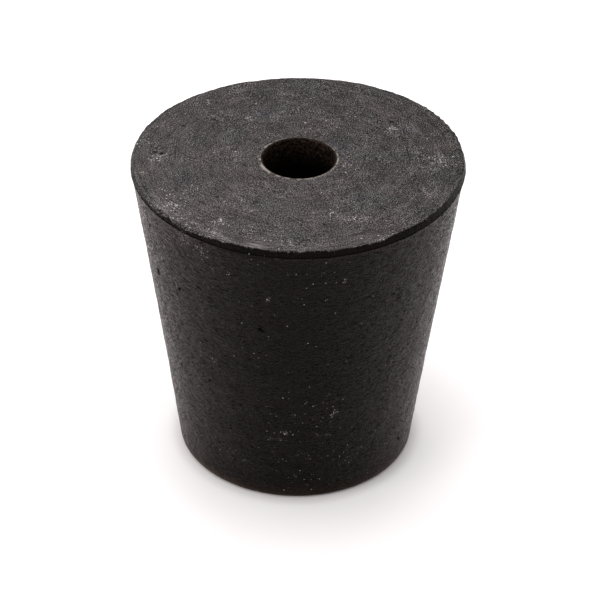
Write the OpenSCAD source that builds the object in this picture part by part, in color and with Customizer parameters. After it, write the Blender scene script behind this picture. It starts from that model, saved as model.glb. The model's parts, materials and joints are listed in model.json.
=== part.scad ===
// One-hole rubber stopper.
// A tapered plug moulded in one piece from carbon-filled rubber. Its wide end
// was cut free of the mould's flash, which leaves a narrow trimmed land round
// the flat top, with a small lip over the wall. A straight hole runs through
// it and grips a glass tube.
// Millimetres. The foot stands on z = 0, and the Z axis runs up the hole.

/* [Plug] */
// Diameter at the lip, the widest place, before its edge is rounded
top_d = 25; // [22:0.5:60]
// Diameter at which the wall would meet the foot's plane
foot_d = 18.4; // [12:0.1:20]
// Length from the foot to the flat top
length = 25; // [15:0.5:60]
// Depth of the shallow hollow half way up the tapered wall
wall_hollow = 0.08; // [0:0.01:0.3]
// Radius of the moulded round where the wall meets the foot
foot_round = 0.4; // [0.1:0.05:1]

/* [Trimmed rim] */
// Height of the land that the trimming cut leaves under the flat top
land_h = 0.5; // [0.2:0.05:1.5]
// How far the land leans in on its way up to the flat top
land_lean = 0.2; // [0.05:0.01:0.6]
// How far the lip stands out over the wall
lip_out = 0.1; // [0.02:0.01:0.3]
// Height over which the lip's underside runs back into the wall
lip_under = 0.12; // [0.05:0.01:0.5]
// Radius of the small rounds along the cut edges
cut_round = 0.04; // [0.01:0.01:0.05]

/* [Hole] */
// Diameter of the hole, a tight fit on a 6 mm glass tube
hole_d = 5.5; // [3:0.5:8]
// Radius of the round at each mouth of the hole
mouth_round = 0.15; // [0.05:0.05:0.5]

/* [Hidden] */
top_r = top_d / 2;
foot_r = foot_d / 2;
hole_r = hole_d / 2;
lip_z = length - land_h;
$fn = 128;

// Short straight runs along the hollow wall, and along each round
wall_runs = 12;
round_runs = 6;

// Where the foot and the wall meet, where the wall runs under the lip, and
// the place a share t of the way between them, bowed in towards the hole
wall_foot = [foot_r, 0];
wall_neck = [top_r - lip_out, lip_z - lip_under];
wall_dir = (wall_neck - wall_foot) / norm(wall_neck - wall_foot);
inward = [-wall_dir.y, wall_dir.x];
function on_wall(t) =
    wall_foot + (wall_neck - wall_foot) * t + inward * wall_hollow * 4 * t * (1 - t);

// Corners of half the section, anticlockwise from the hole's lower mouth.
// Each is [place, radius of its round].
corners = concat(
    [[[hole_r, 0], mouth_round], [wall_foot, foot_round]],
    [for (i = [1 : wall_runs - 1]) [on_wall(i / wall_runs), 0]],
    [
        [wall_neck, cut_round],
        [[top_r, lip_z], cut_round],
        [[top_r - land_lean, length], cut_round],
        [[hole_r, length], mouth_round]
    ]
);

function turn(u, v) = atan2(u.x * v.y - u.y * v.x, u * v);

// Points of a round of radius r that touches both sides of corner p, where a
// is the corner before it and b the one after
function round_off(a, p, b, r) =
    let (
        u = (a - p) / norm(a - p),
        v = (b - p) / norm(b - p),
        half = abs(turn(u, v)) / 2,
        centre = p + (u + v) / norm(u + v) * r / sin(half),
        first = p + u * r / tan(half) - centre,
        last = p + v * r / tan(half) - centre,
        start = atan2(first.y, first.x),
        sweep = turn(first, last)
    )
    [for (i = [0 : round_runs])
        centre + r * [cos(start + sweep * i / round_runs), sin(start + sweep * i / round_runs)]];

function place(i) = corners[(i + len(corners)) % len(corners)][0];

section = [for (i = [0 : len(corners) - 1])
    each corners[i][1] > 0
        ? round_off(place(i - 1), place(i), place(i + 1), corners[i][1])
        : [place(i)]];

// The plug: half its section, turned about the hole's axis
module stopper() {
    color([0.13, 0.12, 0.12])
        rotate_extrude()
            polygon(section);
}

stopper();
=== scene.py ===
"""Looks of a one-hole rubber stopper: a tapered plug of black filled rubber that stands on its small end.

The plug is one moulded piece. Its wall keeps the fine grain and ring marks of the mould, and its wide end was
ground flat. The narrow land round that end is freshly cut rubber, and a bored hole runs down the middle.
Everything is in metres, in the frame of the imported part: the foot on z = 0 and the hole along Z.
"""

import json
import math

import bmesh
import bpy
from mathutils import Matrix, Quaternion, Vector, kdtree, noise


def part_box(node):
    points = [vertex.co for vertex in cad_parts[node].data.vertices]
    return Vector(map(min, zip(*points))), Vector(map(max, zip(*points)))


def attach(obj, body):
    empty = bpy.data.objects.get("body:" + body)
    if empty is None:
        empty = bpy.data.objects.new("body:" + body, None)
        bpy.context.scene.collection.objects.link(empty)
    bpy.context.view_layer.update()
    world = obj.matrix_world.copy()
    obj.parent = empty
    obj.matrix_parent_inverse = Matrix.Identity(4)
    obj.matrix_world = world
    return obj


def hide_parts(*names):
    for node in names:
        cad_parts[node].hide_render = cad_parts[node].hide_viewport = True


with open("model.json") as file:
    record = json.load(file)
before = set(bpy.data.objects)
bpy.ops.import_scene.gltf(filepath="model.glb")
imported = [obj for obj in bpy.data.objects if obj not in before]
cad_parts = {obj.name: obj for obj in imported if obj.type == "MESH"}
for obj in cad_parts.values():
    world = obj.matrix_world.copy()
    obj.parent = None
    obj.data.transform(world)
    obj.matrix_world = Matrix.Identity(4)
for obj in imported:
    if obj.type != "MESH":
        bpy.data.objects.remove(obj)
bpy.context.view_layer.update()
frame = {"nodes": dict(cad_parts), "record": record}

MM = 0.001    # one millimetre, in metres

# ---------------------------------------------------------------- sizes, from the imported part
low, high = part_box("stopper")
LENGTH = high.z - low.z
RIM_R = (high.x - low.x) / 2
hole = next(m for m in frame["record"]["mounts"] if m["name"] == "hole")
HOLE_R = hole["dims"]["r_mm"] * MM
MOUTH_ROUND = (LENGTH - hole["dims"]["length_mm"] * MM) / 2

# ---------------------------------------------------------------- mesh density
SIDES = 480              # steps round the plug
DOUBLINGS = 4            # the spun sector is doubled this many times to close the circle
RING_GAP = 0.035 * MM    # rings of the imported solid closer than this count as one
WALL_RUN = 0.27 * MM     # longest run up the wall
FACE_RUN = 0.36 * MM     # longest run across the ground top
BORDER = 0.6 * MM        # outer border of the ground top, where the runs are as short as on the land
RIM_RUN = 0.09 * MM      # longest run on the cut land
HIDDEN_RUN = 1.5 * MM    # longest run down the hole and under the foot
FLAT = 0.004 * MM        # slack when a face is told apart by its height or radius
HOLE_SIDE = 1.5 * HOLE_R  # nearer the axis than this, a point of the section belongs to the hole
LIP_SKIN = 0.06 * MM     # how far the moulded skin runs on above the lip
SKIN_FADE = 0.5 * MM     # height above the foot over which the skin's unevenness grows to its full size
FLOOR_HALF = 1.5         # half the table's side

# The plug's finishes, in the order of its material slots
WALL, TOP, HOLE = range(3)

# ---------------------------------------------------------------- marks on the rubber
# Pits left by trapped air in the wall: angle from the front in degrees, height, width and depth in mm
WALL_PITS = [
    (-63, 18.4, 0.15, 0.26), (-63, 18.1, 0.15, 0.26), (-48, 18.4, 0.13, 0.22), (-13.3, 17.3, 0.14, 0.26),
    (-12.4, 17.2, 0.12, 0.22), (-38, 10.5, 0.12, 0.2), (-33, 24.2, 0.14, 0.14), (-29, 6.4, 0.1, 0.16),
    (-56, 10.2, 0.1, 0.16), (44, 17.0, 0.1, 0.16), (-63, 22.5, 0.12, 0.10), (54, 14.8, 0.12, 0.10),
    (69, 13.2, 0.15, 0.14), (58, 2.6, 0.14, 0.12), (150, 15.0, 0.15, 0.14), (-160, 7.5, 0.16, 0.15),
    (115, 20.5, 0.13, 0.12),
]
# Pits torn by the grinding in the top: angle, radius, width and depth in mm
TOP_PITS = [
    (-93.7, 10.7, 0.15, 0.14), (-93.1, 10.2, 0.17, 0.16), (-91.7, 9.6, 0.13, 0.14),
    (-118, 9.9, 0.12, 0.08), (-131, 8.6, 0.12, 0.08), (128, 8.9, 0.16, 0.06), (-47, 8.0, 0.13, 0.09),
    (64, 9.8, 0.10, 0.08), (160, 6.4, 0.12, 0.07), (12, 9.1, 0.11, 0.07), (-20, 5.0, 0.10, 0.06),
]
# Pale dust caught on the wall: angle, height, spread in mm and how thick it lies, from 0 to 1
WALL_DUST = [
    (-24, 22.2, 0.15, 1.0), (-41, 24.0, 0.9, 0.3), (-53, 20.4, 0.15, 1.0), (-34, 23.4, 1.1, 0.22),
    (-7, 6.4, 1.0, 0.16), (-5, 6.9, 0.4, 0.3), (-1, 8.6, 0.4, 0.3), (-32, 3.5, 1.2, 0.14),
    (17, 8.9, 0.25, 0.5), (15, 8.5, 0.2, 0.6), (10, 6.6, 0.5, 0.15), (14, 6.6, 0.12, 1.0),
    (16, 22.0, 0.15, 0.8), (-10, 20.3, 0.15, 1.0), (23, 4.0, 0.9, 0.13), (31, 4.3, 0.5, 0.2),
    (2, 5.0, 0.3, 0.3), (3, 5.0, 2.8, 0.09), (4, 9.5, 2.2, 0.07), (-70, 21.0, 2.5, 0.12),
    (6, 22.6, 1.6, 0.08), (160, 12.0, 1.2, 0.2), (-140, 20.0, 1.5, 0.15), (100, 5.0, 1.2, 0.2),
]
# Pale crumbs the grinding left on the top: angle, radius, spread in mm and how thick they lie
TOP_CRUMBS = [
    (-89, 10.6, 0.6, 0.6), (-91, 9.9, 0.4, 0.6), (-79, 11.6, 0.25, 0.9), (-78, 12.0, 0.2, 0.8),
    (-140, 10.8, 0.3, 0.9), (-135, 11.3, 0.15, 1.0), (-147, 6.8, 0.3, 0.8), (122, 8.2, 0.5, 0.6),
    (90, 10.4, 0.9, 0.4), (17, 7.8, 0.3, 0.9), (20, 8.1, 0.25, 0.9), (23, 8.8, 0.3, 0.8),
    (27, 9.2, 0.3, 0.8), (31, 9.5, 0.4, 0.5), (33, 12.1, 0.35, 0.6), (29, 12.2, 0.35, 0.5),
    (-53, 11.4, 0.7, 0.6), (-46, 11.8, 0.6, 0.5), (-39, 12.0, 0.5, 0.6), (-30, 11.9, 0.5, 0.6),
    (-32, 10.4, 0.4, 0.6), (-34, 7.1, 0.2, 0.9), (-60, 10.2, 1.0, 0.25), (76, 3.6, 0.3, 0.6),
    (-100, 11.6, 0.8, 0.25), (-10, 12.0, 1.2, 0.15),
]


# ---------------------------------------------------------------- camera and light
def add_camera():
    """Looks down on the plug from the front, from fourteen rim radii away."""
    distance = 14 * RIM_R
    elevation = math.radians(34.76)
    roll = math.radians(0.68)
    aim_height = 0.488 * LENGTH
    aim = Vector((0.25 * MM, 0, aim_height))
    place = Vector((0, -distance * math.cos(elevation), aim_height + distance * math.sin(elevation)))
    forward = (aim - place).normalized()
    data = bpy.data.cameras.new("camera")
    data.sensor_width = 36
    data.lens = 135.4
    camera = bpy.data.objects.new("camera", data)
    camera.rotation_mode = "QUATERNION"
    camera.location = place
    camera.rotation_quaternion = Quaternion(-forward, roll) @ forward.to_track_quat("-Z", "Y")
    bpy.context.scene.collection.objects.link(camera)
    bpy.context.scene.camera = camera


def add_softbox(name, place, size, watts):
    """A square soft lamp that faces the plug."""
    data = bpy.data.lights.new(name, "AREA")
    data.size = size
    data.energy = watts
    lamp = bpy.data.objects.new(name, data)
    lamp.location = place
    lamp.rotation_mode = "QUATERNION"
    lamp.rotation_quaternion = (Vector((0, 0, LENGTH / 2)) - Vector(place)).to_track_quat("-Z", "Y")
    bpy.context.scene.collection.objects.link(lamp)


# ---------------------------------------------------------------- small helpers
def srgb(code):
    """Linear colour of an sRGB hex code."""
    parts = [int(code[i:i + 2], 16) / 255 for i in (1, 3, 5)]
    return tuple(p / 12.92 if p <= 0.04045 else ((p + 0.055) / 1.055) ** 2.4 for p in parts) + (1,)


def pattern_scale(size_mm):
    """Texture scale at which a pattern in metres repeats about every size_mm."""
    return 1 / (size_mm * MM)


def add(tree, kind, settings=None, links=None):
    """Adds one node with its settings and links, and returns the first of its outputs that is in use."""
    node = tree.nodes.new(kind)
    for name, value in (settings or {}).items():
        if isinstance(name, str) and hasattr(node, name):
            setattr(node, name, value)
        else:
            node.inputs[name].default_value = value
    for name, source in (links or {}).items():
        tree.links.new(source, node.inputs[name])
    return next((output for output in node.outputs if output.enabled), None)


def new_material(name):
    """An empty material."""
    material = bpy.data.materials.new(name)
    material.use_nodes = True
    material.node_tree.nodes.clear()
    return material


# ---------------------------------------------------------------- patterns shared by the rubber finishes
def painted(tree, *names):
    """The values that paint() gave each vertex, by name."""
    return [add(tree, "ShaderNodeAttribute", {"attribute_name": name}).node.outputs["Fac"] for name in names]


def radius_from_axis(tree, place):
    """Distance from the hole's axis."""
    flat = add(tree, "ShaderNodeVectorMath", {"operation": "MULTIPLY", 1: (1, 1, 0)}, {0: place})
    return add(tree, "ShaderNodeVectorMath", {"operation": "LENGTH"}, {0: flat}).node.outputs["Value"]


def ring_marks(tree, place, run, width_mm, arcs):
    """Fine arcs round the hole's axis, which follow each other along run (a radius or a height) every
    width_mm. The higher arcs is, the shorter they are."""
    flat = add(tree, "ShaderNodeVectorMath", {"operation": "MULTIPLY", 1: (1, 1, 0)}, {0: place})
    outward = add(tree, "ShaderNodeVectorMath", {"operation": "NORMALIZE"}, {0: flat})
    step = add(tree, "ShaderNodeMath", {"operation": "MULTIPLY", 1: pattern_scale(width_mm)}, {0: run})
    upward = add(tree, "ShaderNodeCombineXYZ", {}, {"Z": step})
    bent = add(tree, "ShaderNodeVectorMath", {"operation": "MULTIPLY_ADD", 1: (arcs, arcs, 0)},
               {0: outward, 2: upward})
    return add(tree, "ShaderNodeTexNoise", {"Scale": 1.0, "Detail": 2.0, "Roughness": 0.6}, {"Vector": bent})


def flecks(tree, place, spacing_mm, size, share, flat="3D"):
    """Small pale crumbs of uneven shape and brightness on a jittered grid: size is a crumb's radius in grid
    steps, share how many of them stay."""
    bend = add(tree, "ShaderNodeTexNoise", {"Scale": pattern_scale(0.5 * spacing_mm), "Detail": 1.0},
               {"Vector": place}).node.outputs["Color"]
    bent = add(tree, "ShaderNodeVectorMath", {"operation": "MULTIPLY_ADD", 1: (0.9 * spacing_mm * MM,) * 3},
               {0: bend, 2: place})
    cells = add(tree, "ShaderNodeTexVoronoi",
                {"voronoi_dimensions": flat, "Scale": pattern_scale(spacing_mm)},
                {"Vector": bent}).node
    dot = add(tree, "ShaderNodeMapRange", {"From Min": size, "From Max": 0.3 * size},
              {"Value": cells.outputs["Distance"]})
    luck = add(tree, "ShaderNodeSeparateColor", {}, {"Color": cells.outputs["Color"]}).node
    kept = add(tree, "ShaderNodeMath", {"operation": "LESS_THAN"}, {0: luck.outputs["Red"], 1: share})
    bright = add(tree, "ShaderNodeMapRange", {"To Min": 0.25, "To Max": 1.0},
                 {"Value": luck.outputs["Green"]})
    shown = add(tree, "ShaderNodeMath", {"operation": "MULTIPLY"}, {0: dot, 1: kept})
    return add(tree, "ShaderNodeMath", {"operation": "MULTIPLY"}, {0: shown, 1: bright})


def threads(tree, place, size_mm, share):
    """Broken curls of pale lint, where share is high: the line on which a soft noise passes its middle."""
    curl = add(tree, "ShaderNodeTexNoise", {"Scale": pattern_scale(size_mm), "Detail": 3.0},
               {"Vector": place})
    curl = add(tree, "ShaderNodeMath", {"operation": "SUBTRACT", 1: 0.5}, {0: curl})
    curl = add(tree, "ShaderNodeMath", {"operation": "ABSOLUTE"}, {0: curl})
    line = add(tree, "ShaderNodeMapRange", {"From Min": 0.05, "From Max": 0.03}, {"Value": curl})
    broken = add(tree, "ShaderNodeTexNoise", {"Scale": pattern_scale(0.3 * size_mm), "Detail": 2.0},
                 {"Vector": place})
    broken = add(tree, "ShaderNodeMapRange", {"From Min": 0.54, "From Max": 0.6}, {"Value": broken})
    near = add(tree, "ShaderNodeMapRange", {"From Min": 0.12, "From Max": 0.5}, {"Value": share})
    shown = add(tree, "ShaderNodeMath", {"operation": "MULTIPLY"}, {0: line, 1: broken})
    return add(tree, "ShaderNodeMath", {"operation": "MULTIPLY"}, {0: shown, 1: near})


# ---------------------------------------------------------------- rubber finishes
def moulded_wall():
    """Carbon-filled rubber pressed in a turned steel mould: near black and dull from the front, with a fine
    grain and faint rings that glow warm grey where the wall turns away, specks of pale dust and torn skin
    at the lip. The mould's grain, about 0.03 mm, and its turning marks are too fine to show: the grain is
    drawn as 0.065 mm, and the marks 0.1 and 0.18 mm apart."""
    material = new_material("moulded_black_rubber")
    tree = material.node_tree
    place = add(tree, "ShaderNodeTexCoord").node.outputs["Object"]
    height = add(tree, "ShaderNodeSeparateXYZ", {}, {0: place}).node.outputs["Z"]
    dust, pit, wear_and_painted_light, scuff_and_painted_light = painted(tree, "dust", "pit", "wear_and_painted_light", "scuff_and_painted_light")
    fine = add(tree, "ShaderNodeTexNoise", {"Scale": pattern_scale(0.065), "Detail": 1.0, "Roughness": 0.6},
               {"Vector": place})
    uneven = add(tree, "ShaderNodeTexNoise", {"Scale": pattern_scale(0.7), "Detail": 2.0, "Roughness": 0.6},
                 {"Vector": place})
    patches = add(tree, "ShaderNodeTexNoise", {"Scale": pattern_scale(3.0), "Detail": 3.0, "Roughness": 0.6},
                  {"Vector": place})
    radius = radius_from_axis(tree, place)
    run = add(tree, "ShaderNodeMath", {"operation": "ADD"}, {0: height, 1: radius})
    rings = ring_marks(tree, place, run, 0.1, 38)
    scores = ring_marks(tree, place, run, 0.18, 24)

    # Brown-black rubber, a little greyer on the crests of the grain, and a painted highlight along the foot's
    # edge: browner there, for the table's light caught on the rounded foot
    mottle = add(tree, "ShaderNodeMapRange", {"From Min": 0.3, "From Max": 0.7}, {"Value": patches})
    body = add(tree, "ShaderNodeMix", {"data_type": "RGBA", 6: srgb("#010101"), 7: srgb("#040202")},
               {0: mottle})
    crests = add(tree, "ShaderNodeMapRange", {"From Min": 0.45, "From Max": 0.7}, {"Value": fine})
    body = add(tree, "ShaderNodeMix", {"data_type": "RGBA", 7: srgb("#0e0a08")}, {0: crests, 6: body})
    # Painted highlight along the foot's edge
    foot = add(tree, "ShaderNodeMath", {"operation": "MULTIPLY_ADD", 1: -2.0 * MM}, {0: patches, 2: height})
    foot = add(tree, "ShaderNodeMapRange", {"From Min": 0.4 * MM, "From Max": -1.4 * MM}, {"Value": foot})
    body = add(tree, "ShaderNodeMix", {"data_type": "RGBA", 7: srgb("#241913")}, {0: foot, 6: body})

    # Pale brown along the foot's edge except at the front, and faintly high on the left: brown dust, and
    # painted light, a highlight along the foot's edge and a lighter left side
    edge = add(tree, "ShaderNodeMath", {"operation": "MULTIPLY"}, {0: scuff_and_painted_light, 1: uneven})
    body = add(tree, "ShaderNodeMix", {"data_type": "RGBA", 7: srgb("#7a6a5f")}, {0: edge, 6: body})

    # Torn black skin under the lip, ragged where the knife slipped, and black pits: painted shade in their
    # hollows
    ragged = add(tree, "ShaderNodeTexNoise", {"Scale": pattern_scale(0.3), "Detail": 2.0}, {"Vector": place})
    ragged = add(tree, "ShaderNodeMath", {"operation": "MULTIPLY_ADD", 1: 0.4 * MM}, {0: ragged, 2: height})
    slip = add(tree, "ShaderNodeMath", {"operation": "MULTIPLY_ADD", 1: 0.2 * MM}, {0: wear_and_painted_light, 2: ragged})
    torn = add(tree, "ShaderNodeMapRange", {"From Min": LENGTH - 0.42 * MM, "From Max": LENGTH - 0.36 * MM},
               {"Value": slip})
    # The pits are painted black here too: painted shade in their hollows
    black = add(tree, "ShaderNodeMath", {"operation": "MAXIMUM"}, {0: torn, 1: pit})
    body = add(tree, "ShaderNodeMix", {"data_type": "RGBA", 7: srgb("#010000")}, {0: black, 6: body})

    # Pale dust
    share = add(tree, "ShaderNodeMapRange", {"From Min": 0.52, "From Max": 2.6}, {"Value": patches})
    share = add(tree, "ShaderNodeMath", {"operation": "ADD"}, {0: share, 1: dust})
    specks = flecks(tree, place, 0.15, 0.3, share)
    lint = threads(tree, place, 0.36, dust)
    specks = add(tree, "ShaderNodeMath", {"operation": "MAXIMUM"}, {0: specks, 1: lint})
    body = add(tree, "ShaderNodeMix", {"data_type": "RGBA", 7: srgb("#e8e2dd")}, {0: specks, 6: body})

    # Glossier on the grain's crests, dull along the mould's scores and where torn
    gloss = add(tree, "ShaderNodeMath", {"operation": "ADD"}, {0: fine, 1: rings})
    gloss = add(tree, "ShaderNodeMapRange",
                {"From Min": 0.9, "From Max": 1.07, "To Min": 0.5, "To Max": 0.02},
                {"Value": gloss})
    dull = add(tree, "ShaderNodeMapRange", {"From Min": 0.43, "From Max": 0.35, "To Max": 0.5},
               {"Value": scores})
    gloss = add(tree, "ShaderNodeMath", {"operation": "ADD"}, {0: gloss, 1: dull})
    roughness = add(tree, "ShaderNodeMapRange", {"To Max": 0.75}, {"Value": black, "To Min": gloss})
    skin = add(tree, "ShaderNodeBump", {"Distance": 0.055 * MM}, {"Height": uneven})
    skin = add(tree, "ShaderNodeBump", {"Distance": 0.04 * MM}, {"Height": scores, "Normal": skin})
    skin = add(tree, "ShaderNodeBump", {"Distance": 0.08 * MM}, {"Height": fine, "Normal": skin})
    shader = add(tree, "ShaderNodeBsdfPrincipled",
                 {"IOR": 1.52, "Specular IOR Level": 0.055, "Specular Tint": (1, 0.83, 0.79, 1),
                  "Sheen Weight": 0.15, "Sheen Roughness": 0.15, "Sheen Tint": srgb("#ffd8cc")},
                 {"Base Color": body, "Roughness": roughness, "Normal": skin})
    add(tree, "ShaderNodeOutputMaterial", {}, {"Surface": shader})
    return material


def ground_top():
    """The same rubber ground flat on a wheel, and cut off black round the rim. The torn filler turns the
    flat mid grey, with a salt-and-pepper grain, fine arcs round the hole, pale crumbs and pits; the cut is
    ragged. The wheel's grit, about 0.05 mm, is drawn as 0.085 mm so that it shows."""
    material = new_material("ground_and_cut_rubber")
    tree = material.node_tree
    place = add(tree, "ShaderNodeTexCoord").node.outputs["Object"]
    radius = radius_from_axis(tree, place)
    dust, pit, wear_and_painted_light, scuff_and_painted_light, past_edge = painted(tree, "dust", "pit", "wear_and_painted_light", "scuff_and_painted_light", "past_edge")
    fine = add(tree, "ShaderNodeTexNoise", {"Scale": pattern_scale(0.085), "Detail": 2.0, "Roughness": 0.7},
               {"Vector": place})
    blots = add(tree, "ShaderNodeTexNoise", {"Scale": pattern_scale(0.4), "Detail": 3.0, "Roughness": 0.7},
                {"Vector": place})
    patches = add(tree, "ShaderNodeTexNoise", {"Scale": pattern_scale(2.6), "Detail": 3.0, "Roughness": 0.6},
                  {"Vector": place})
    calm = add(tree, "ShaderNodeTexNoise", {"Scale": pattern_scale(1.8), "Detail": 2.0}, {"Vector": place})
    calm = add(tree, "ShaderNodeMapRange", {"From Min": 0.35, "From Max": 0.6}, {"Value": calm})
    arcs = ring_marks(tree, place, radius, 0.12, 6)
    sweeps = ring_marks(tree, place, radius, 0.6, 5)

    # Mid grey with painted light across it, lighter toward the left front and darker toward the right back,
    # with brownish and bluish patches and broad pale sweeps
    body = add(tree, "ShaderNodeMix", {"data_type": "RGBA", 6: srgb("#1a1818"), 7: srgb("#474343")},
               {0: wear_and_painted_light})
    warm = add(tree, "ShaderNodeMapRange", {"From Min": 0.5, "From Max": 0.75}, {"Value": patches})
    body = add(tree, "ShaderNodeMix", {"data_type": "RGBA", 7: srgb("#3c3634")}, {0: warm, 6: body})
    cool = add(tree, "ShaderNodeMapRange", {"From Min": 0.5, "From Max": 0.3}, {"Value": patches})
    body = add(tree, "ShaderNodeMix", {"data_type": "RGBA", 7: srgb("#2e2e32")}, {0: cool, 6: body})
    broad = add(tree, "ShaderNodeMapRange", {"From Min": 0.5, "From Max": 1.0}, {"Value": sweeps})
    body = add(tree, "ShaderNodeMix", {"data_type": "RGBA", 7: srgb("#6a6462")}, {0: broad, 6: body})

    # Salt-and-pepper grain, quieter where the wheel dwelt
    salt = add(tree, "ShaderNodeMapRange", {"From Min": 0.51, "From Max": 0.68}, {"Value": fine})
    level = add(tree, "ShaderNodeMapRange", {"To Min": 1.0, "To Max": 0.6}, {"Value": calm})
    salt = add(tree, "ShaderNodeMath", {"operation": "MULTIPLY"}, {0: salt, 1: level})
    body = add(tree, "ShaderNodeMix", {"data_type": "RGBA", 7: srgb("#b4adac")}, {0: salt, 6: body})
    pepper = add(tree, "ShaderNodeMapRange", {"From Min": 0.47, "From Max": 0.33}, {"Value": fine})
    body = add(tree, "ShaderNodeMix", {"data_type": "RGBA", 7: srgb("#040303")}, {0: pepper, 6: body})

    # Dark arcs and blots, and pale streaks along the scuffed part of the rim
    lines = add(tree, "ShaderNodeMapRange", {"From Min": 0.5, "From Max": 0.3, "To Max": 0.6},
                {"Value": arcs})
    body = add(tree, "ShaderNodeMix", {"data_type": "RGBA", 7: srgb("#1c1818")}, {0: lines, 6: body})
    dark = add(tree, "ShaderNodeMapRange", {"From Min": 0.44, "From Max": 0.22, "To Max": 0.9},
               {"Value": blots})
    body = add(tree, "ShaderNodeMix", {"data_type": "RGBA", 7: srgb("#1a1716")}, {0: dark, 6: body})
    streaks = add(tree, "ShaderNodeMapRange", {"From Min": 0.47, "From Max": 0.66, "To Max": 0.5},
                  {"Value": arcs})
    streaks = add(tree, "ShaderNodeMath", {"operation": "MULTIPLY"}, {0: streaks, 1: scuff_and_painted_light})
    body = add(tree, "ShaderNodeMix", {"data_type": "RGBA", 7: srgb("#a8a09d")}, {0: streaks, 6: body})

    # Pale crumbs, a pale ragged ring at the hole's mouth, a rubbed edge with a painted highlight on it, and
    # black pits, painted shade in their hollows
    share = add(tree, "ShaderNodeMapRange", {"From Min": 0.5, "From Max": 9.0}, {"Value": patches})
    share = add(tree, "ShaderNodeMath", {"operation": "MULTIPLY_ADD", 1: 0.6}, {0: dust, 2: share})
    crumbs = flecks(tree, place, 0.2, 0.36, share, "2D")
    lint = threads(tree, place, 0.36, dust)
    crumbs = add(tree, "ShaderNodeMath", {"operation": "MAXIMUM"}, {0: crumbs, 1: lint})
    body = add(tree, "ShaderNodeMix", {"data_type": "RGBA", 7: srgb("#e2dcd7")}, {0: crumbs, 6: body})
    # Painted highlight on the mouth's rubbed edge
    mouth = add(tree, "ShaderNodeMapRange",
                {"From Min": HOLE_R + 2.2 * MOUTH_ROUND, "From Max": HOLE_R + 1.2 * MOUTH_ROUND},
                {"Value": radius})
    gaps = add(tree, "ShaderNodeTexNoise", {"Scale": pattern_scale(0.35), "Detail": 2.0}, {"Vector": place})
    gaps = add(tree, "ShaderNodeMapRange", {"From Min": 0.45, "From Max": 0.6}, {"Value": gaps})
    mouth = add(tree, "ShaderNodeMath", {"operation": "MULTIPLY"}, {0: mouth, 1: gaps})
    body = add(tree, "ShaderNodeMix", {"data_type": "RGBA", 7: srgb("#a0978f")}, {0: mouth, 6: body})
    # Painted shade: the pits are painted near black
    body = add(tree, "ShaderNodeMix", {"data_type": "RGBA", 7: srgb("#010101")}, {0: pit, 6: body})

    # The black cut, with a ragged edge: 0.4 mm of the noise moves it to and fro along past_edge
    nicks = add(tree, "ShaderNodeTexNoise", {"Scale": pattern_scale(0.16), "Detail": 2.0}, {"Vector": place})
    waves = add(tree, "ShaderNodeTexNoise", {"Scale": pattern_scale(1.2), "Detail": 1.0}, {"Vector": place})
    ragged = add(tree, "ShaderNodeMath", {"operation": "ADD"}, {0: nicks, 1: waves})
    ragged = add(tree, "ShaderNodeMath", {"operation": "MULTIPLY_ADD", 1: 0.4 * MM},
                 {0: ragged, 2: past_edge})
    cut = add(tree, "ShaderNodeMapRange", {"From Min": 0.36 * MM, "From Max": 0.44 * MM}, {"Value": ragged})
    glints = add(tree, "ShaderNodeMapRange", {"From Min": 0.5, "From Max": 0.8}, {"Value": fine})
    fresh = add(tree, "ShaderNodeMix", {"data_type": "RGBA", 6: srgb("#020101"), 7: srgb("#2a221f")},
                {0: glints})
    body = add(tree, "ShaderNodeMix", {"data_type": "RGBA"}, {0: cut, 6: body, 7: fresh})

    roughness = add(tree, "ShaderNodeMapRange", {"To Min": 0.8, "To Max": 0.35}, {"Value": cut})
    skin = add(tree, "ShaderNodeBump", {"Distance": 0.05 * MM}, {"Height": blots})
    skin = add(tree, "ShaderNodeBump", {"Distance": 0.04 * MM}, {"Height": arcs, "Normal": skin})
    skin = add(tree, "ShaderNodeBump", {"Distance": 0.07 * MM}, {"Height": fine, "Normal": skin})
    shader = add(tree, "ShaderNodeBsdfPrincipled",
                 {"IOR": 1.52, "Specular IOR Level": 0.05, "Specular Tint": (1, 0.9, 0.88, 1)},
                 {"Base Color": body, "Roughness": roughness, "Normal": skin})
    add(tree, "ShaderNodeOutputMaterial", {}, {"Surface": shader})
    return material


def bored_hole():
    """The inside of the hole: dull brown-black rubber that little light reaches, with painted shade that
    turns it black lower down. The drill's scores are drawn as 0.22 mm grain."""
    material = new_material("bored_rubber")
    tree = material.node_tree
    place = add(tree, "ShaderNodeTexCoord").node.outputs["Object"]
    height = add(tree, "ShaderNodeSeparateXYZ", {}, {0: place}).node.outputs["Z"]
    fine = add(tree, "ShaderNodeTexNoise", {"Scale": pattern_scale(0.22), "Detail": 3.0, "Roughness": 0.6},
               {"Vector": place})
    crests = add(tree, "ShaderNodeMapRange", {"From Min": 0.42, "From Max": 0.7}, {"Value": fine})
    body = add(tree, "ShaderNodeMix", {"data_type": "RGBA", 6: srgb("#0a0605"), 7: srgb("#41342a")},
               {0: crests})
    # Painted shade: the brown fades to black from just under the mouth to 2.4 mm down
    painted_shade_fade = add(tree, "ShaderNodeMapRange", {"From Min": LENGTH - 2.4 * MM, "From Max": LENGTH - 0.2 * MM},
                {"Value": height})
    body = add(tree, "ShaderNodeMix", {"data_type": "RGBA", 6: srgb("#010101")}, {0: painted_shade_fade, 7: body})
    skin = add(tree, "ShaderNodeBump", {"Distance": 0.08 * MM}, {"Height": fine})
    shader = add(tree, "ShaderNodeBsdfPrincipled",
                 {"IOR": 1.52, "Roughness": 0.6, "Specular IOR Level": 0.04},
                 {"Base Color": body, "Normal": skin})
    add(tree, "ShaderNodeOutputMaterial", {}, {"Surface": shader})
    return material


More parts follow.
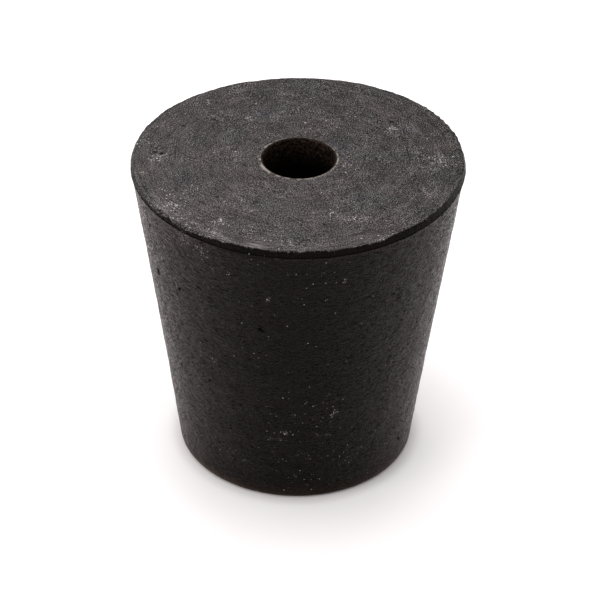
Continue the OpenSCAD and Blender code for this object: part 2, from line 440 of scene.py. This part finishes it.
# ---------------------------------------------------------------- the plug's mesh
def section_rings():
    """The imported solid's half section as a closed run of (radius, height), from the foot up the wall,
    across the top and down the hole."""
    outside, inside = set(), set()
    for v in frame["nodes"]["stopper"].data.vertices:
        ring = (v.co.xy.length, v.co.z)
        (inside if ring[0] < HOLE_SIDE else outside).add(ring)
    run = []
    for ring in sorted(outside, key=lambda p: p[1]) + sorted(inside, key=lambda p: -p[1]):
        if not run or math.dist(ring, run[-1]) > RING_GAP:
            run.append(ring)
    return run


def longest_run(a, b):
    """How long an edge of the section may be, by where it lies."""
    radius, height = (a.co.x + b.co.x) / 2, (a.co.z + b.co.z) / 2
    if height > LENGTH - FLAT:
        return RIM_RUN if radius > RIM_R - BORDER else FACE_RUN
    if radius < 1.2 * HOLE_R or height < FLAT:
        return HIDDEN_RUN
    return RIM_RUN if height > LENGTH - BORDER else WALL_RUN


def spin_plug(bm):
    """Draws the half section, divides its long runs, spins one sector of the plug and doubles it into the
    circle."""
    rings = section_rings()
    top_edge = max(i for i, ring in enumerate(rings) if ring[0] > RIM_R - BORDER)
    rings.insert(top_edge + 1, (RIM_R - BORDER, LENGTH))
    corners = [bm.verts.new((radius, 0, height)) for radius, height in rings]
    edges = [bm.edges.new(pair) for pair in zip(corners, corners[1:] + corners[:1])]
    for edge in edges:
        cuts = int(edge.calc_length() / longest_run(*edge.verts))
        if cuts:
            bmesh.ops.subdivide_edges(bm, edges=[edge], cuts=cuts)
    sectors = 2 ** DOUBLINGS
    bmesh.ops.spin(bm, geom=bm.verts[:] + bm.edges[:], cent=(0, 0, 0), axis=(0, 0, 1),
                   angle=math.tau / sectors, steps=SIDES // sectors)
    for doubling in range(DOUBLINGS):
        copy = bmesh.ops.duplicate(bm, geom=bm.verts[:] + bm.edges[:] + bm.faces[:])["geom"]
        moved = [part for part in copy if isinstance(part, bmesh.types.BMVert)]
        turn = Matrix.Rotation(2 ** doubling * math.tau / sectors, 3, "Z")
        bmesh.ops.rotate(bm, verts=moved, cent=(0, 0, 0), matrix=turn)
    bmesh.ops.remove_doubles(bm, verts=bm.verts[:], dist=0.001 * MM)
    bmesh.ops.recalc_face_normals(bm, faces=bm.faces[:])


def lip_height(bm):
    """Height at which the plug is widest."""
    return max(bm.verts, key=lambda v: v.co.xy.length).co.z


def give_finishes(bm):
    """Each face's finish: WALL on the moulded wall and foot, TOP on the ground top and cut land, and HOLE."""
    lip = lip_height(bm)
    for face in bm.faces:
        centre = face.calc_center_median()
        face.material_index = WALL
        if centre.xy.length < HOLE_R + MOUTH_ROUND:
            face.material_index = HOLE
        elif centre.z > lip + LIP_SKIN:
            face.material_index = TOP
        face.smooth = True


def at(angle, radius, height):
    """A point on the plug, by its angle from the front, in degrees, its radius and its height."""
    turn = math.radians(angle)
    return Vector((radius * math.sin(turn), -radius * math.cos(turn), height))


def wall_radius(height):
    """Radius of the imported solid's wall at a height."""
    rings = [ring for ring in section_rings() if ring[0] > HOLE_SIDE]
    for (r0, z0), (r1, z1) in zip(rings, rings[1:]):
        if z0 <= height <= z1:
            return r0 + (r1 - r0) * (height - z0) / (z1 - z0)
    return RIM_R


def pit_places():
    """Each pit as (centre, width, depth), in metres."""
    pits = []
    for angle, height, width, depth in WALL_PITS:
        pits.append((at(angle, wall_radius(height * MM), height * MM), width * MM, depth * MM))
    for angle, radius, width, depth in TOP_PITS:
        pits.append((at(angle, radius * MM, LENGTH), width * MM, depth * MM))
    return pits


def vertex_finder(bm):
    """Numbers the vertices, and returns a tree that finds those near a place."""
    bm.verts.index_update()
    bm.verts.ensure_lookup_table()
    finder = kdtree.KDTree(len(bm.verts))
    for v in bm.verts:
        finder.insert(v.co, v.index)
    finder.balance()
    return finder


def refine_pits(bm, pits):
    """Divides the faces round each pit, so that it has a shape of its own."""
    finder = vertex_finder(bm)
    edges = set()
    for centre, width, _ in pits:
        for _, index, _ in finder.find_range(centre, 2 * width):
            edges.update(bm.verts[index].link_edges)
    bmesh.ops.subdivide_edges(bm, edges=list(edges), cuts=2, use_grid_fill=True)


def sink_pits(bm, pits):
    """Presses each pit in as a small smooth hollow."""
    bm.normal_update()
    finder = vertex_finder(bm)
    for centre, width, depth in pits:
        for _, index, gap in finder.find_range(centre, 2.5 * width):
            v = bm.verts[index]
            v.co -= v.normal * depth * math.exp(-2.2 * (gap / width) ** 2)


def out_of_round(turn):
    """How far the rim stands out from its true circle, in mm, at an angle from the front: soft rubber
    springs a little three-cornered when it leaves the mould."""
    return (0.05 + 0.05 * math.cos(turn - 0.66) + 0.09 * math.cos(2 * turn + 0.85)
            + 0.14 * math.cos(3 * turn - 0.27))


def window(turn, centre, half_width):
    """1 at an angle from the front, in degrees, and fading to 0 at half_width from it."""
    gap = (math.degrees(turn) - centre + 180) % 360 - 180
    return max(0.0, 1 - (gap / half_width) ** 2)


def mouth_shape(turn):
    """How far the hole's mouth stands out from its true circle, in mm: the drill pulled it back and right."""
    return 0.06 * math.cos(2 * turn) + 0.05 * math.sin(turn) - 0.07 * math.cos(turn)


def wear(bm):
    """Moves the vertices off the true shape: the plug is a little out of round, its skin is uneven and the
    cut is ragged."""
    bm.normal_update()
    lip = lip_height(bm)
    moves = []
    for v in bm.verts:
        radius, height = v.co.xy.length, v.co.z
        outward = Vector((v.co.x, v.co.y, 0)).normalized()
        turn = math.atan2(v.co.x, -v.co.y)
        if radius < HOLE_R + 2 * MOUTH_ROUND:
            near_mouth = max(0.0, 1 - (LENGTH - height) / (3 * MM))
            moves.append(outward * mouth_shape(turn) * near_mouth * MM)
            continue
        if height < FLAT:
            moves.append(Vector((0, 0, 0)))
            continue
        skin = 0.024 * noise.noise(v.co / (0.45 * MM)) + 0.03 * noise.noise(v.co / (1.6 * MM))
        skin *= min(1.0, height / SKIN_FADE)
        near_rim = max(0.0, (height - 0.6 * LENGTH) / (0.4 * LENGTH)) ** 2 * (radius / RIM_R) ** 4
        stand_out = out_of_round(turn) * near_rim
        if height > lip and radius > RIM_R - BORDER:
            up = (height - lip) / (LENGTH - lip)
            inner = min(1.0, (radius - RIM_R + BORDER) / (0.3 * MM))
            spot = outward * RIM_R
            torn = 0.06 * noise.noise(spot / (1.3 * MM))
            torn += 0.05 * noise.noise(spot / (0.4 * MM) + v.co / (3 * MM))
            torn += 0.13 * noise.noise(spot / (0.3 * MM)) * window(turn, 118, 38)
            stand_out += torn * min(up, inner)
        moves.append((v.normal * skin + outward * stand_out) * MM)
    for v, move in zip(bm.verts, moves):
        v.co += move


def paint(bm, pits):
    """Gives each vertex the values its finish reads: dust, pits, wear, scuffs, painted light across the top
    and along the foot's edge, painted shade in the pits, and how far past the top's edge it lies."""
    dust = bm.verts.layers.float.new("dust")
    pit = bm.verts.layers.float.new("pit")
    scuff_and_painted_light = bm.verts.layers.float.new("scuff_and_painted_light")
    wear_and_painted_light = bm.verts.layers.float.new("wear_and_painted_light")
    past_edge = bm.verts.layers.float.new("past_edge")
    finder = vertex_finder(bm)
    foot_radius = wall_radius(0)
    edge_radius = max(v.co.xy.length for v in bm.verts if v.co.z > LENGTH - FLAT / 4)
    for v in bm.verts:
        radius, height = v.co.xy.length, v.co.z
        turn = math.atan2(v.co.x, -v.co.y)
        if height > LENGTH - 2 * FLAT or radius < edge_radius:
            v[past_edge] = radius - edge_radius
        else:
            v[past_edge] = LENGTH - height
        v[past_edge] -= 0.3 * MM * window(turn, -72, 48)
        if height > LENGTH - 2 * FLAT:
            # On the top this is painted light: lighter toward the left front, darker toward the right back,
            # most at the rim
            v[wear_and_painted_light] = 0.4 + 0.55 * math.cos(turn + 0.8) * radius / RIM_R
            rim_gap = (edge_radius - 0.2 * MM - radius) / (0.8 * MM)
            rubbed = 0.6 + 1.2 * noise.noise(v.co / (1.2 * MM))
            v[scuff_and_painted_light] = max(0.0, math.exp(-rim_gap * rim_gap) * rubbed) * window(turn, -30, 65)
        else:
            v[wear_and_painted_light] = window(turn, -17, 16)
            # On the wall: dust and painted light, a highlight along the foot's edge away from the front and a
            # faint lift high on the left
            from_edge = height + max(0.0, foot_radius - radius)
            low = max(0.0, 1 - from_edge / (0.8 * MM)) * (1 - window(turn, 5, 55))
            high = max(0.0, 1 - (LENGTH - height) / (5 * MM)) * window(turn, -58, 32)
            v[scuff_and_painted_light] = max(low, 0.1 * high)
    places = [(at(angle, wall_radius(height * MM), height * MM), spread, thick)
              for angle, height, spread, thick in WALL_DUST]
    places += [(at(angle, radius * MM, LENGTH), spread, thick) for angle, radius, spread, thick in TOP_CRUMBS]
    for centre, spread, thick in places:
        for _, index, gap in finder.find_range(centre, 2 * spread * MM):
            v = bm.verts[index]
            v[dust] = max(v[dust], thick * math.exp(-(gap / (spread * MM)) ** 2))
    # Each pit's value also carries the painted shade in its hollow
    for centre, width, _ in pits:
        for _, index, gap in finder.find_range(centre, 2 * width):
            v = bm.verts[index]
            v[pit] = max(v[pit], min(1, 1.8 * math.exp(-1.6 * (gap / width) ** 2)))


def make_plug():
    """The whole stopper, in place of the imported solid."""
    bm = bmesh.new()
    spin_plug(bm)
    give_finishes(bm)
    pits = pit_places()
    refine_pits(bm, pits)
    paint(bm, pits)
    sink_pits(bm, pits)
    wear(bm)
    data = bpy.data.meshes.new("rubber_plug")
    bm.to_mesh(data)
    bm.free()
    for material in (moulded_wall(), ground_top(), bored_hole()):
        data.materials.append(material)
    plug = bpy.data.objects.new("rubber_plug", data)
    bpy.context.scene.collection.objects.link(plug)
    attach(plug, "root")
    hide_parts("stopper")


# ---------------------------------------------------------------- floor and surroundings
def white_table():
    """A plain white table. Seen directly it is lifted to paper white, and it keeps the plug's shadow. Ambient
    occlusion dims the lift close to the plug, which paints a dark contact shade where the plug stands on it."""
    material = new_material("white_table")
    tree = material.node_tree
    path = add(tree, "ShaderNodeLightPath").node
    seen = add(tree, "ShaderNodeMath", {"operation": "ADD"},
               {0: path.outputs["Is Camera Ray"], 1: path.outputs["Is Glossy Ray"]})
    seen = add(tree, "ShaderNodeMath", {"operation": "ADD", "use_clamp": True},
               {0: seen, 1: path.outputs["Is Transmission Ray"]})
    # Painted shade: ambient occlusion dims the glow within 1.1 mm of the plug, a dark contact line round the
    # foot
    open_sky = add(tree, "ShaderNodeAmbientOcclusion", {"Distance": 1.1 * MM}).node.outputs["AO"]
    lift = add(tree, "ShaderNodeMath", {"operation": "POWER", 1: 1.5}, {0: open_sky})
    lift = add(tree, "ShaderNodeMath", {"operation": "MULTIPLY"}, {0: lift, 1: seen})
    lift = add(tree, "ShaderNodeMath", {"operation": "MULTIPLY", 1: 0.3}, {0: lift})
    shade = add(tree, "ShaderNodeBsdfDiffuse", {"Color": srgb("#f6f0f0")})
    glow = add(tree, "ShaderNodeEmission", {"Color": (1, 1, 1, 1)}, {"Strength": lift})
    both = add(tree, "ShaderNodeAddShader", {}, {0: shade, 1: glow})
    add(tree, "ShaderNodeOutputMaterial", {}, {"Surface": both})
    return material


def add_floor():
    """The table that the plug stands on."""
    bm = bmesh.new()
    bmesh.ops.create_grid(bm, x_segments=1, y_segments=1, size=FLOOR_HALF)
    data = bpy.data.meshes.new("floor")
    bm.to_mesh(data)
    bm.free()
    data.materials.append(white_table())
    floor = bpy.data.objects.new("floor", data)
    bpy.context.scene.collection.objects.link(floor)


def add_world():
    """Even white light from all round."""
    world = bpy.data.worlds.new("studio")
    bpy.context.scene.world = world
    world.use_nodes = True
    tree = world.node_tree
    tree.nodes.clear()
    light = add(tree, "ShaderNodeBackground", {"Color": (1, 1, 1, 1), "Strength": 0.53})
    add(tree, "ShaderNodeOutputWorld", {}, {"Surface": light})


add_camera()
add_world()
add_floor()
# Each lamp's place and side are in metres, and its power in watts
add_softbox("overhead", (0, 0, 0.61), 0.15, 0.54)
add_softbox("key", (-0.11, 0.11, 0.59), 0.54, 1.4)
add_softbox("left_window", (-0.45, -0.26, 0.31), 0.3, 0.75)
add_softbox("back_window", (0, 0.52, 0.31), 0.54, 0.93)
make_plug()

bpy.context.scene.view_settings.view_transform = "Standard"
